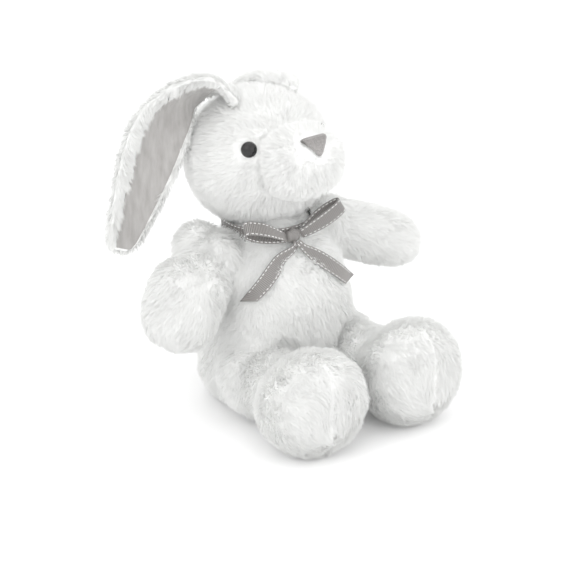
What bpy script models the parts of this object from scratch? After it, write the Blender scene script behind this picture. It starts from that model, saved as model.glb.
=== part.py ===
"""Seated plush rabbit with a ribbon bow, as separate covers, fillings and trim.

Frame: metres, +Z up, the rabbit faces -Y and its left side is +X.
The origin is the middle of the flat seat panel, on the surface it sits on.
"""
import math

import bmesh
import bpy
from mathutils import Matrix, Vector

# ---------------------------------------------------------------- cloth and clearances
WALL = 0.0028            # plush cloth with its pile pressed flat
LINING = 0.0012          # smooth ear lining
GAP = 0.0004             # between pieces that touch
TURN_GAP = 0.0010        # around roots that turn in the body
LEAST_SHARE = 0.05       # keeps a surface point off the rim of the head
TAIL_STEP = 0.001        # ribbon tails start this far in front of the knot's middle

# ---------------------------------------------------------------- torso
TORSO_HEIGHT = 0.121     # seat to the top of the neck
BELLY_WIDTH = 0.104
BELLY_DEPTH = 0.098
SEAT_WIDTH = 0.062       # flat round base panel
NECK_WIDTH = 0.056

# ---------------------------------------------------------------- head
HEAD_WIDTH = 0.099
HEAD_DEPTH = 0.090
HEAD_HEIGHT = 0.085
HEAD_BACK = 0.017        # head centre behind the seat centre
NECK_BALL = 0.019        # radius of the filling that carries the head
HEAD_SINK = 0.018        # how far the neck ball reaches into the head
NECK_SLOT = 0.0066       # open slot between the top of the torso and the head

# ---------------------------------------------------------------- muzzle, nose and eyes
MUZZLE_WIDTH = 0.056
MUZZLE_HEIGHT = 0.041
MUZZLE_REACH = 0.064     # head centre to the front of the muzzle
MUZZLE_RISE = 0.006      # muzzle centre above the head centre
NOSE_WIDTH = 0.020
NOSE_HEIGHT = 0.014
NOSE_THICK = 0.0022
NOSE_CORNER = 0.0022
NOSE_BACK = 0.0035       # behind the front of the muzzle
NOSE_DROP = 0.0045       # below the top of the muzzle
NOSE_DEEP = 0.006        # how far its sides run into the muzzle before they are cut to it
MUZZLE_LAP = 0.004       # how far the muzzle's hollow runs into the head
EYE_WIDTH = 0.0105
EYE_SPREAD = 0.061       # between the two eye centres
EYE_RISE = 0.016         # above the head centre
SHANK_WIDTH = 0.0030
WASHER_WIDTH = 0.0120
WASHER_THICK = 0.0012
WASHER_ROOM = 0.0018     # between the head cover and the washer
EYE_SEAT = 0.0006        # bead's flat back above the cover
SHANK_TAIL = 0.002       # shank beyond the washer
POCKET_ROOM = 0.001      # filling beyond the shank
HOLE_OUT = 0.004         # eye holes are cut from here outside the cover
HOLE_DEEP = 0.012        # to here inside it

# ---------------------------------------------------------------- ears
EAR_LENGTH = 0.142
EAR_WIDTH = 0.043
EAR_ROOT_WIDTH = 0.026
EAR_THICK = 0.0036
EAR_ROLL = 0.0028        # radius of the rolled root seam, on the hinge axis
EAR_SPREAD = 0.036       # between the two roots
EAR_BORDER = 0.0095      # plush that folds round the outer edge of the lining
EAR_HEM = 0.0040         # and round its inner edge
EAR_CURL = 0.22          # how far the edges curl, as a share of the half width
EAR_PERCH = 0.0018       # hinge axis above the head cover
EAR_BACK = 0.002         # roots behind the head centre
EAR_ROOM = 0.004         # beyond each end of the rolled root seam

# ---------------------------------------------------------------- arms
ARM_LENGTH = 0.067       # shoulder pivot to the end of the paw
ARM_ROOT = 0.0190        # radius of the ball root
PAW_WIDTH = {"left": 0.046, "right": 0.053}   # the right arm is stuffed fuller
PAW_HEIGHT = {"left": 0.037, "right": 0.047}
SHOULDER_HEIGHT = 0.105
SHOULDER_GAP = 0.0020    # beside the ribbon band
SHOULDER_BACK = 0.002    # behind the middle of the torso
ROOT_SHARE = 0.8         # most of the arm root that may lie below the ribbon band
ARM_SWING = (-25.0, 50.0)

# ---------------------------------------------------------------- legs
LEG_LENGTH = 0.087       # hip pivot to the sole
LEG_ROOT = 0.0235
FOOT_WIDTH = 0.073
FOOT_HEIGHT = 0.070
HIP_SPREAD = 0.070
HIP_DEEP = 0.009         # inside the front of the belly
HIP_RISE = 0.0060        # root above the floor
LEG_SPLAY = 5.0
LEG_SWING = (-20.0, 25.0)
LIMB_ROOM = 0.041        # stretch of a limb that the torso leaves room for

# ---------------------------------------------------------------- tail
TAIL_WIDTH = 0.029
TAIL_HEIGHT = 0.027      # tail centre above the floor
TAIL_WAG = (-15.0, 15.0)

# ---------------------------------------------------------------- ribbon
RIBBON_WIDTH = 0.010
RIBBON_THICK = 0.0007
RIBBON_DROP = 0.0070     # lower edge of the band below the top of the neck
RIBBON_STANDOFF = 0.0045 # tails in front of the belly
KNOT_WIDTH = 0.011
KNOT_SIDE = -0.004       # knot off the middle, towards the right paw

# Ends of the bow: loops from the knot, tails as place across and height.
LOOP_END = {"left": Vector((0.033, -0.008, 0.019)), "right": Vector((-0.034, 0.006, 0.013))}
LOOP_TILT = {"left": 0.0, "right": 50.0}  # the right loop lies over, open to the front
TAIL_END = {"left": (0.031, 0.085), "right": (-0.042, 0.087)}
TAIL_BEND = {"left": 1.0, "right": 0.72}  # below 1 the tail swings out early

# ---------------------------------------------------------------- inside
PELLET_BAG_WIDTH = 0.052
PELLET_BAG_HEIGHT = 0.016
SEAM_THREAD = 0.0006     # radius of the sewing thread

# ---------------------------------------------------------------- facets
FINE = 20
COARSE = 12

X = Vector((1, 0, 0))
Y = Vector((0, 1, 0))
Z = Vector((0, 0, 1))

# Torso outline: height, half width and half depth as shares, centre's place in depth.
TORSO_OUTLINE = (
    (0.05, 0.86, -0.000),
    (0.14, 0.97, -0.001),
    (0.30, 1.00, -0.003),
    (0.48, 0.95, -0.005),
    (0.66, 0.88, -0.006),
    (0.79, 0.80, -0.003),
    (0.89, 0.67, 0.003),
)
NECK_CENTRE_Y = 0.008
SEAT_CENTRE_Y = 0.004
NECK_FOOT = 0.935        # height share where the neck becomes straight


# ================================================================ helpers
def clear_scene():
    for thing in list(bpy.data.objects):
        bpy.data.objects.remove(thing, do_unlink=True)


def plush_material(name, colour, roughness, metallic=0.0):
    made = bpy.data.materials.new(name)
    made.use_nodes = True
    shader = made.node_tree.nodes["Principled BSDF"]
    shader.inputs["Base Color"].default_value = (*colour, 1.0)
    shader.inputs["Roughness"].default_value = roughness
    shader.inputs["Metallic"].default_value = metallic
    made.diffuse_color = (*colour, 1.0)
    return made


def pivot_empty(name, place, parent=None):
    empty = bpy.data.objects.new(name, None)
    empty.empty_display_size = 0.01
    bpy.context.collection.objects.link(empty)
    base = Vector((0, 0, 0))
    if parent:
        empty.parent = parent
        base = Vector(parent["place"])
    empty.location = Vector(place) - base
    empty["place"] = tuple(place)
    return empty


def add_piece(name, bm, material, parent, smooth=True):
    """Turn a bmesh in world coordinates into an object whose origin is its parent's pivot."""
    bmesh.ops.recalc_face_normals(bm, faces=bm.faces)
    bmesh.ops.translate(bm, verts=bm.verts, vec=-Vector(parent["place"]))
    mesh = bpy.data.meshes.new(name)
    bm.to_mesh(mesh)
    bm.free()
    piece = bpy.data.objects.new(name, mesh)
    bpy.context.collection.objects.link(piece)
    piece.parent = parent
    if material:
        mesh.materials.append(material)
    if smooth:
        mesh.shade_smooth()
        mesh.set_sharp_from_angle(angle=math.radians(40))
    return piece


def add_cutter(name, bm, parent):
    cutter = add_piece(name, bm, None, parent, smooth=False)
    cutter.hide_render = True
    cutter.display_type = "WIRE"
    return cutter


def boolean(piece, other, operation="DIFFERENCE"):
    step = piece.modifiers.new(f"{operation.lower()} {other.name}", "BOOLEAN")
    step.operation = operation
    step.object = other
    step.solver = "EXACT"


def ring_points(centre, across, upward, half_across, half_up, sides, squareness=2.0):
    """Points of a closed superellipse; squareness 2 is a plain ellipse."""
    points = []
    for i in range(sides):
        turn = 2 * math.pi * i / sides
        c, s = math.cos(turn), math.sin(turn)
        a = math.copysign(abs(c) ** (2 / squareness), c) * half_across
        b = math.copysign(abs(s) ** (2 / squareness), s) * half_up
        points.append(centre + across * a + upward * b)
    return points


def loft(rings):
    """Bridge a row of closed rings and cap both ends with a fan or a flat face."""
    bm = bmesh.new()
    rows = [[bm.verts.new(point) for point in ring] for ring in rings]
    for low, high in zip(rows, rows[1:]):
        count = len(low)
        for i in range(count):
            j = (i + 1) % count
            bm.faces.new((low[i], low[j], high[j], high[i]))
    bm.faces.new(list(reversed(rows[0])))
    bm.faces.new(rows[-1])
    return bm


def smooth_values(stations, count):
    """Read a smooth curve through rows of numbers at evenly spaced steps."""
    rows = [list(row) for row in stations]
    last = len(rows) - 1
    out = []
    for step in range(count):
        at = step * last / (count - 1)
        i = min(int(at), last - 1)
        t = at - i
        before, start = rows[max(i - 1, 0)], rows[i]
        end, after = rows[i + 1], rows[min(i + 2, last)]
        row = []
        for b, s, e, a in zip(before, start, end, after):
            first = (e - b) / 2
            second = (a - s) / 2
            h = (2 * t**3 - 3 * t**2 + 1) * s + (t**3 - 2 * t**2 + t) * first
            row.append(h + (3 * t**2 - 2 * t**3) * e + (t**3 - t**2) * second)
        out.append(row)
    return out


def ball(centre, half_x, half_y, half_z, across=FINE, rings=COARSE - 2):
    bm = bmesh.new()
    bmesh.ops.create_uvsphere(bm, u_segments=across, v_segments=rings, radius=1.0)
    bmesh.ops.scale(bm, verts=bm.verts, vec=(half_x, half_y, half_z))
    bmesh.ops.translate(bm, verts=bm.verts, vec=centre)
    return bm


def cylinder(start, end, radius, sides=COARSE):
    axis = end - start
    side = axis.orthogonal().normalized()
    other = axis.normalized().cross(side)
    return loft([ring_points(at, side, other, radius, radius, sides) for at in (start, end)])


def lathe(profile, origin, axis, sides, closed=False):
    """Turn a (radius, height) outline about an axis; radius 0 is a point, closed makes a ring."""
    side = axis.orthogonal().normalized()
    other = axis.normalized().cross(side)
    bm = bmesh.new()
    rows = []
    for radius, height in profile:
        at = origin + axis.normalized() * height
        if radius == 0:
            rows.append([bm.verts.new(at)])
        else:
            rows.append([bm.verts.new(p) for p in ring_points(at, side, other, radius, radius, sides)])
    ends = rows[1:] + rows[:1] if closed else rows[1:]
    for low, high in zip(rows, ends):
        for i in range(sides):
            j = (i + 1) % sides
            corners = [low[i % len(low)], low[j % len(low)], high[j % len(high)], high[i % len(high)]]
            unique = list(dict.fromkeys(corners))
            if len(unique) > 2:
                bm.faces.new(unique)
    return bm


def hull_of(points):
    bm = bmesh.new()
    for point in points:
        bm.verts.new(point)
    made = bmesh.ops.convex_hull(bm, input=bm.verts)
    loose = [v for v in set(made["geom_interior"] + made["geom_unused"]) if isinstance(v, bmesh.types.BMVert)]
    bmesh.ops.delete(bm, geom=loose, context="VERTS")
    return bm


def swept_clearance(name, rings, pivot, axis, swing, parent):
    """Cutter that leaves room for a root as it swings from one limit to the other."""
    points = []
    for share in (0.0, 0.5, 1.0):
        turn = math.radians(swing[0] + (swing[1] - swing[0]) * share)
        turned = Matrix.Rotation(turn, 3, axis)
        points += [pivot + turned @ (point - pivot) for ring in rings for point in ring]
    return add_cutter(name, hull_of(points), parent)


# ================================================================ shapes worked out from the sizes
def torso_rows():
    """Height share, half width, half depth and centre in depth, from the seat to the neck."""
    rows = [(0.0, SEAT_WIDTH / 2, SEAT_WIDTH / 2, SEAT_CENTRE_Y)]
    for at, size, centre in TORSO_OUTLINE:
        rows.append((at, BELLY_WIDTH / 2 * size, BELLY_DEPTH / 2 * size, centre))
    rows.append((NECK_FOOT, NECK_WIDTH / 2, NECK_WIDTH / 2, NECK_CENTRE_Y))
    rows.append((1.0, NECK_WIDTH / 2, NECK_WIDTH / 2, NECK_CENTRE_Y))
    return rows


def torso_section(height):
    """Half width, half depth and centre in depth of the torso cover at a height."""
    share = min(max(height / TORSO_HEIGHT, 0.0), 1.0)
    rows = torso_rows()
    for low, high in zip(rows, rows[1:]):
        if share <= high[0]:
            t = (share - low[0]) / (high[0] - low[0])
            return [a + (b - a) * t for a, b in zip(low[1:], high[1:])]
    return rows[-1][1:]


def torso_front(across, height, standoff):
    """Point in front of the belly, at a place across and a height."""
    half_width, half_depth, centre = torso_section(height)
    share = min(abs(across) / (half_width + standoff), 0.98)
    depth = (half_depth + standoff) * math.sqrt(1 - share**2)
    return Vector((across, centre - depth, height))


def torso_back(height, standoff):
    _, half_depth, centre = torso_section(height)
    return Vector((0, centre + half_depth + standoff, height))


def torso_rings(inset, bottom, top):
    """Rings at the outline's own heights, cut off at the bottom and the top."""
    heights = [bottom]
    heights += [row[0] * TORSO_HEIGHT for row in torso_rows() if bottom < row[0] * TORSO_HEIGHT < top]
    heights.append(top)
    rings = []
    for height in heights:
        half_width, half_depth, centre = torso_section(height)
        middle = Vector((0, centre, height))
        rings.append(ring_points(middle, X, Y, half_width - inset, half_depth - inset, FINE))
    return rings


NECK = Vector((0, NECK_CENTRE_Y, TORSO_HEIGHT + 0.001))
HEAD = Vector((0, HEAD_BACK, NECK.z + NECK_BALL - HEAD_SINK + HEAD_HEIGHT / 2 - 0.001))


def head_ball(grow):
    return ball(HEAD, HEAD_WIDTH / 2 + grow, HEAD_DEPTH / 2 + grow, HEAD_HEIGHT / 2 + grow)


def head_surface(across, height):
    """Point on the front of the head, and the direction that it faces."""
    share = 1 - (across / (HEAD_WIDTH / 2)) ** 2 - (height / (HEAD_HEIGHT / 2)) ** 2
    depth = -HEAD_DEPTH / 2 * math.sqrt(max(share, LEAST_SHARE))
    place = Vector((across, depth, height))
    facing = Vector((across / HEAD_WIDTH**2, depth / HEAD_DEPTH**2, height / HEAD_HEIGHT**2))
    return HEAD + place, facing.normalized()


def head_top(across, back):
    share = 1 - (across / (HEAD_WIDTH / 2)) ** 2 - (back / (HEAD_DEPTH / 2)) ** 2
    return HEAD + Vector((across, back, HEAD_HEIGHT / 2 * math.sqrt(max(share, LEAST_SHARE))))


def muzzle_rings(inset, back):
    """Blunt block: its depth runs forward from a plane inside the head."""
    reach = MUZZLE_REACH - inset
    shape = ((0.0, 1.0), (0.45, 1.0), (0.66, 0.99), (0.82, 0.96), (0.93, 0.87), (0.985, 0.68), (1.0, 0.44))
    rings = []
    for share, size in shape:
        depth = -back if share == 0.0 else reach * share
        middle = HEAD + Vector((0, -depth, MUZZLE_RISE))
        half_width = MUZZLE_WIDTH / 2 * size - inset
        half_height = MUZZLE_HEIGHT / 2 * size - inset
        rings.append(ring_points(middle, X, Z, half_width, half_height, FINE, squareness=3.0))
    return rings


def limb_rings(pivot, along, root, stations, inset, sides, reach=None):
    """Ball root about the pivot, then sections (distance, half across, half up, lift)."""
    across = along.cross(Z).normalized()
    upward = across.cross(along).normalized()
    rings = []
    for turn in (160, 135, 110):
        angle = math.radians(turn)
        size = (root - inset) * math.sin(angle)
        middle = pivot + along * (root - inset) * math.cos(angle)
        rings.append(ring_points(middle, across, upward, size, size, sides))
    for distance, half_across, half_up, lift in stations:
        if reach is not None and distance > reach:
            break
        middle = pivot + along * distance + upward * lift
        rings.append(ring_points(middle, across, upward, half_across - inset, half_up - inset, sides))
    return rings


def arm_stations(side_name):
    half_width, half_height = PAW_WIDTH[side_name] / 2, PAW_HEIGHT[side_name] / 2
    neck = ARM_ROOT * 0.95
    end = ARM_LENGTH
    lift = half_height - neck
    return (
        (ARM_ROOT * 0.30, neck, neck, 0.0),
        (end * 0.34, neck + (half_width - neck) * 0.85, neck + (half_height - neck) * 0.85, lift),
        (end * 0.52, half_width, half_height, lift),
        (end * 0.70, half_width * 0.98, half_height * 0.96, lift * 0.3),
        (end * 0.86, half_width * 0.82, half_height * 0.80, 0.0),
        (end * 0.96, half_width * 0.50, half_height * 0.50, 0.0),
    )


def leg_stations():
    half_width, half_height = FOOT_WIDTH / 2, FOOT_HEIGHT / 2
    shin = LEG_ROOT * 0.98
    end = LEG_LENGTH
    lift = half_height - HIP.z
    return (
        (LEG_ROOT * 0.24, shin, shin, 0.0),
        (end * 0.28, shin * 1.04, shin * 0.95, 0.0),
        (end * 0.44, shin * 1.22, shin * 0.98, 0.0),
        (end * 0.58, half_width * 0.95, half_height * 0.90, lift * 0.75),
        (end * 0.72, half_width, half_height, lift),
        (end * 0.86, half_width * 0.93, half_height * 0.93, lift),
        (end * 0.95, half_width * 0.74, half_height * 0.74, lift),
        (end * 0.995, half_width * 0.40, half_height * 0.40, lift),
    )


def hip_place():
    """Hip pivots sit just inside the front of the belly, at the height of the leg's middle."""
    height = LEG_ROOT + HIP_RISE
    half_width, half_depth, centre = torso_section(height)
    share = HIP_SPREAD / 2 / half_width
    return Vector((HIP_SPREAD / 2, centre - half_depth * math.sqrt(1 - share**2) + HIP_DEEP, height))


def shoulder_place():
    _, _, centre = torso_section(SHOULDER_HEIGHT)
    beside = BAND_RADIUS + RIBBON_THICK + SHOULDER_GAP
    drop = min(TORSO_HEIGHT - RIBBON_DROP - SHOULDER_HEIGHT, ARM_ROOT * ROOT_SHARE)
    return Vector((beside + math.sqrt(ARM_ROOT**2 - drop**2), centre + SHOULDER_BACK, SHOULDER_HEIGHT))


def band_front(across, standoff):
    """Point in front of the neck band."""
    radius = BAND_RADIUS + RIBBON_THICK + standoff
    return Vector((across, NECK_CENTRE_Y - math.sqrt(radius**2 - across**2), 0))


def mirrored(vector, side):
    return Vector((vector.x * side, vector.y, vector.z))


BAND_RADIUS = NECK_WIDTH / 2 + 0.0010
HIP = hip_place()
SHOULDER = shoulder_place()
ARM_DIRECTION = {
    "left": Vector((0.86, -0.26, -0.31)).normalized(),
    "right": Vector((-0.74, -0.26, -0.62)).normalized(),
}
LEG_DIRECTION = Vector((math.sin(math.radians(LEG_SPLAY)), -math.cos(math.radians(LEG_SPLAY)), 0))
TAIL_PIVOT = torso_back(TAIL_HEIGHT, 0.001)
SIDES = (("left", 1), ("right", -1))


# ================================================================ torso
def build_torso(cloth, filling, thread, root):
    outer = torso_rings(0.0, 0.0, TORSO_HEIGHT)
    inner = torso_rings(WALL, 0.0, TORSO_HEIGHT)
    skin = add_piece("torso_skin", tube_shell(outer, inner), cloth, root)

    floor = WALL + GAP
    fill_rings = torso_rings(WALL + GAP, floor, TORSO_HEIGHT - GAP)
    stuffing = add_piece("torso_stuffing", loft(fill_rings), filling, root)

    middle = Vector((0, SEAT_CENTRE_Y, 0))
    seat_radius = SEAT_WIDTH / 2 - WALL - GAP
    seat = [ring_points(middle + Z * h, X, Y, seat_radius, seat_radius, FINE) for h in (0.0, WALL)]
    add_piece("seat_panel", loft(seat), cloth, root)

    bag_radius = PELLET_BAG_WIDTH / 2
    bag_shape = ((0.0, 0.0), (0.82, 0.0), (1.0, 0.30), (1.0, 0.62), (0.80, 0.95), (0.0, 1.0))
    bag = [(bag_radius * r, floor + PELLET_BAG_HEIGHT * h) for r, h in bag_shape]
    add_piece("pellet_bag", lathe(bag, middle, Z, COARSE), cloth, root)
    recess = [(0.0, 0.0), (bag_radius + GAP, 0.0), (bag_radius + GAP, bag[3][1] + GAP),
              (bag_radius * 0.80 + GAP, bag[4][1] + GAP), (0.0, bag[5][1] + GAP)]
    boolean(stuffing, add_cutter("pellet_recess", lathe(recess, middle, Z, COARSE), root))

    socket = NECK_BALL + TURN_GAP
    neck_room = add_cutter("neck_room", ball(NECK, socket, socket, socket), root)
    for piece in (skin, stuffing):
        boolean(piece, neck_room)

    low, high = TORSO_HEIGHT * 0.36, TORSO_HEIGHT * 0.64
    seam = [torso_back(low + (high - low) * i / 8, SEAM_THREAD + GAP) for i in range(9)]
    add_piece("back_seam_thread", cord_along(seam, SEAM_THREAD, 8), thread, root)
    return skin, stuffing


def tube_shell(outer, inner):
    """Open tube of cloth: outer rings up, inner rings down, joined at both rims."""
    bm = bmesh.new()
    rows = [[bm.verts.new(p) for p in ring] for ring in outer + inner[::-1]]
    for low, high in zip(rows, rows[1:] + rows[:1]):
        for i in range(len(low)):
            j = (i + 1) % len(low)
            bm.faces.new((low[i], low[j], high[j], high[i]))
    return bm


def cord_along(points, radius, sides):
    rings = []
    for i, point in enumerate(points):
        along = (points[min(i + 1, len(points) - 1)] - points[max(i - 1, 0)]).normalized()
        side = along.cross(X).normalized()
        rings.append(ring_points(point, side, along.cross(side), radius, radius, sides))
    return loft(rings)


# ================================================================ limbs
def build_limb(name, pivot, along, root_size, stations, swing, axis, cloth, filling, torso, root):
    """Cover open at its root, its filling, and the room that the torso leaves for it."""
    joint = pivot_empty(f"{name}_joint", pivot, root)
    outer = limb_rings(pivot, along, root_size, stations, 0.0, COARSE)
    inner = limb_rings(pivot, along, root_size, stations, WALL, COARSE)
    inner[-1] = [p - along * WALL for p in inner[-1]]
    add_piece(f"{name}_skin", loft(outer[::-1] + inner), cloth, joint)
    core = limb_rings(pivot, along, root_size, stations, WALL + GAP, COARSE)
    core[-1] = [p - along * (WALL + GAP) for p in core[-1]]
    add_piece(f"{name}_stuffing", loft(core), filling, joint)
    near = limb_rings(pivot, along, root_size, stations, -TURN_GAP, COARSE, reach=LIMB_ROOM)
    room = swept_clearance(f"{name}_room", near, pivot, axis, swing, root)
    for piece in torso:
        boolean(piece, room)


def build_tail(cloth, filling, torso, root):
    radius = TAIL_WIDTH / 2
    pivot = TAIL_PIVOT
    middle = pivot + Y * radius * 0.62
    joint = pivot_empty("tail_joint", pivot, root)

    def ball_rings(grow, first):
        rings = []
        for turn in (first, 125, 100, 75, 50, 28, 10):
            angle = math.radians(turn)
            size = (radius + grow) * math.sin(angle)
            at = middle + Y * (radius + grow) * math.cos(angle)
            rings.append(ring_points(at, X, Z, size, size, COARSE))
        return rings

    add_piece("tail_skin", loft(ball_rings(0.0, 150)[::-1] + ball_rings(-WALL, 150)), cloth, joint)
    add_piece("tail_stuffing", loft(ball_rings(-WALL - GAP, 150)), filling, joint)
    room = swept_clearance("tail_room", ball_rings(TURN_GAP, 165), pivot, Z, TAIL_WAG, root)
    for piece in torso:
        boolean(piece, room)


# ================================================================ neck and head
def build_neck(filling, thread, neck):
    add_piece("neck_stuffing", ball(NECK, NECK_BALL, NECK_BALL, NECK_BALL), filling, neck)
    radius = NECK_BALL + GAP + SEAM_THREAD
    sides = 6
    ring = [(radius + SEAM_THREAD * math.cos(2 * math.pi * i / sides),
             SEAM_THREAD * math.sin(2 * math.pi * i / sides)) for i in range(sides)]
    level = NECK + Z * SEAM_THREAD
    add_piece("neck_seam_thread", lathe(ring, level, Z, FINE, closed=True), thread, neck)


def build_head(cloth, filling, head):
    skin = add_piece("head_skin", head_ball(0.0), cloth, head)
    boolean(skin, add_cutter("head_hollow", head_ball(-WALL), head))
    muzzle = add_piece("muzzle_skin", loft(muzzle_rings(0.0, 0.0)), cloth, head)
    muzzle_hollow = add_cutter("muzzle_hollow", loft(muzzle_rings(WALL, MUZZLE_LAP)), head)
    boolean(muzzle, muzzle_hollow)
    boolean(muzzle, add_cutter("head_room", head_ball(GAP), head))
    boolean(skin, muzzle_hollow)

    stuffing = add_piece("head_stuffing", head_ball(-WALL - GAP), filling, head)
    boolean(stuffing, add_cutter("muzzle_filling", loft(muzzle_rings(WALL + GAP, 0.0)), head), "UNION")

    socket = NECK_BALL + TURN_GAP
    neck_room = add_cutter("head_neck_room", ball(NECK, socket, socket, socket), head)
    slot_top = Vector((0, HEAD_BACK, TORSO_HEIGHT + NECK_SLOT))
    slot = add_cutter("neck_slot", cylinder(slot_top - Z * NECK_BALL, slot_top, HEAD_WIDTH / 2), head)
    for piece in (skin, stuffing):
        boolean(piece, neck_room)
        boolean(piece, slot)
    return skin, stuffing, muzzle


def build_eye(side_name, side, bead_material, washer_material, skin, stuffing, muzzle, head):
    place, facing = head_surface(side * EYE_SPREAD / 2, EYE_RISE)
    radius, shank = EYE_WIDTH / 2, SHANK_WIDTH / 2
    seat = EYE_SEAT
    washer_top = -(WALL + WASHER_ROOM)
    washer_foot = washer_top - WASHER_THICK
    shank_end = washer_foot - SHANK_TAIL
    dome = [(radius * math.cos(math.radians(a)), seat + radius * 0.82 * math.sin(math.radians(a)))
            for a in (70, 50, 30, 12, 0)]
    profile = [(0.0, seat + radius * 0.82), *dome, (shank, seat), (shank, shank_end), (0.0, shank_end)]
    add_piece(f"eye_{side_name}", lathe(profile, place, facing, COARSE), bead_material, head)

    bore = shank + GAP / 2
    washer = [(bore, washer_top), (WASHER_WIDTH / 2, washer_top),
              (WASHER_WIDTH / 2, washer_foot), (bore, washer_foot)]
    add_piece(f"eye_washer_{side_name}", lathe(washer, place, facing, COARSE, closed=True),
              washer_material, head)

    hole = cylinder(place + facing * HOLE_OUT, place - facing * HOLE_DEEP, shank + GAP)
    boolean(skin, add_cutter(f"eye_hole_{side_name}", hole, head))
    opening = cylinder(place + facing * radius * 2, place + facing * washer_foot, radius + GAP)
    boolean(muzzle, add_cutter(f"eye_opening_{side_name}", opening, head))
    pocket = cylinder(place + facing * HOLE_OUT, place + facing * (shank_end - POCKET_ROOM),
                      WASHER_WIDTH / 2 + 2 * GAP)
    boolean(stuffing, add_cutter(f"washer_pocket_{side_name}", pocket, head))


def build_nose(satin, head):
    """Triangle with round corners on the top front edge of the muzzle."""
    facing = Vector((0, -0.82, 0.57)).normalized()
    upward = facing.cross(X)
    middle = HEAD + Vector((0, -MUZZLE_REACH + NOSE_BACK, MUZZLE_RISE + MUZZLE_HEIGHT / 2 - NOSE_DROP))
    corner = NOSE_CORNER
    corners = [
        Vector((NOSE_WIDTH / 2 - corner, NOSE_HEIGHT * 0.40 - corner, 0)),
        Vector((-NOSE_WIDTH / 2 + corner, NOSE_HEIGHT * 0.40 - corner, 0)),
        Vector((0, -NOSE_HEIGHT * 0.60 + corner, 0)),
    ]
    outline = []
    for at, (first, last) in zip(corners, ((-30, 90), (90, 210), (210, 330))):
        for step in range(5):
            angle = math.radians(first + (last - first) * step / 4)
            outline.append(at + corner * Vector((math.cos(angle), math.sin(angle), 0)))
    rings = []
    for depth, size in ((-NOSE_DEEP, 1.0), (NOSE_THICK * 0.55, 1.0), (NOSE_THICK, 0.72)):
        rings.append([middle + (X * p.x + upward * p.y) * size + facing * depth for p in outline])
    nose = add_piece("nose_pad", loft(rings), satin, head)
    boolean(nose, add_cutter("muzzle_room", loft(muzzle_rings(-GAP, 0.0)), head))


# ================================================================ ears
# Route and lining direction as (x, y, z, facing x, y, z, width share): x in head widths from the
# root, because the ear hangs beside the head, and y and z in ear lengths.
EAR_ROUTES = {
    "right": (
        (0.0000, 0.000, 0.000, -0.72, -0.05, -0.65, 0.00),
        (-0.1291, 0.035, 0.044, -0.55, -0.45, -0.65, 0.80),
        (-0.3012, 0.070, 0.036, -0.20, -0.75, -0.60, 0.93),
        (-0.4662, 0.099, -0.092, -0.30, -0.92, -0.20, 1.00),
        (-0.5881, 0.120, -0.310, -0.30, -0.95, 0.00, 0.90),
        (-0.7243, 0.162, -0.620, -0.30, -0.95, 0.00, 0.50),
    ),
    "left": (
        (0.0000, 0.000, 0.000, -0.26, 0.71, -0.65, 0.00),
        (0.0402, 0.080, -0.003, -0.10, 0.30, -0.95, 0.80),
        (0.0861, 0.205, -0.050, 0.00, -0.10, -1.00, 0.93),
        (0.1506, 0.350, -0.155, -0.10, -0.60, -0.80, 1.00),
        (0.1922, 0.425, -0.345, -0.20, -0.95, -0.25, 0.90),
        (0.2152, 0.440, -0.660, -0.20, -0.97, 0.00, 0.50),
    ),
}


def ear_root(side):
    """Hinge point just over the head, and the line of the root seam."""
    place = head_top(side * EAR_SPREAD / 2, EAR_BACK)
    offset = place - HEAD
    normal = Vector((offset.x / HEAD_WIDTH**2, offset.y / HEAD_DEPTH**2, offset.z / HEAD_HEIGHT**2))
    normal.normalize()
    seam = Vector((side * 0.55, -0.83, 0))
    seam = (seam - normal * seam.dot(normal)).normalized()
    return place + normal * EAR_PERCH, seam


def ear_frames(side_name, side, steps):
    """Centre, width direction, lining direction, half width and place along the ear."""
    hinge, seam = ear_root(side)
    rows = smooth_values(EAR_ROUTES[side_name], steps)
    centres = [hinge + Vector((row[0] * HEAD_WIDTH, row[1] * EAR_LENGTH, row[2] * EAR_LENGTH)) for row in rows]
    frames = []
    for i, row in enumerate(rows):
        along = (centres[min(i + 1, steps - 1)] - centres[max(i - 1, 0)]).normalized()
        facing = Vector(row[3:6])
        facing = (facing - along * facing.dot(along)).normalized()
        across = along.cross(facing)
        share = i / (steps - 1)
        if share < 0.22:
            turned = seam if seam.dot(across) > 0 else -seam
            across = turned.lerp(across, share / 0.22).normalized()
            facing = across.cross(along).normalized()
        half = EAR_ROOT_WIDTH / 2 + (EAR_WIDTH * row[6] - EAR_ROOT_WIDTH) / 2 * min(share / 0.2, 1.0)
        frames.append((centres[i], along, across, facing, half, share))
    end_centre, along, across, facing, half, share = frames[-1]
    for reach, size in ((0.35, 0.86), (0.65, 0.62), (0.85, 0.32)):
        frames.append((end_centre + along * half * reach, along, across, facing, half * size, share))
    return frames


def ear_section(frame, low, high, first=-1.0, last=1.0):
    """Closed outline of a curled strip between two offsets and two shares of its half width."""
    centre, _, across, facing, half, share = frame
    curl = EAR_CURL * min(share / 0.3, 1.0)
    points = []
    spans = [first + (last - first) * i / 8 for i in range(9)]
    for span in spans:
        points.append(centre + across * half * span + facing * (curl * half * span**2 + high))
    for span in reversed(spans):
        points.append(centre + across * half * span + facing * (curl * half * span**2 + low))
    return points


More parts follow.
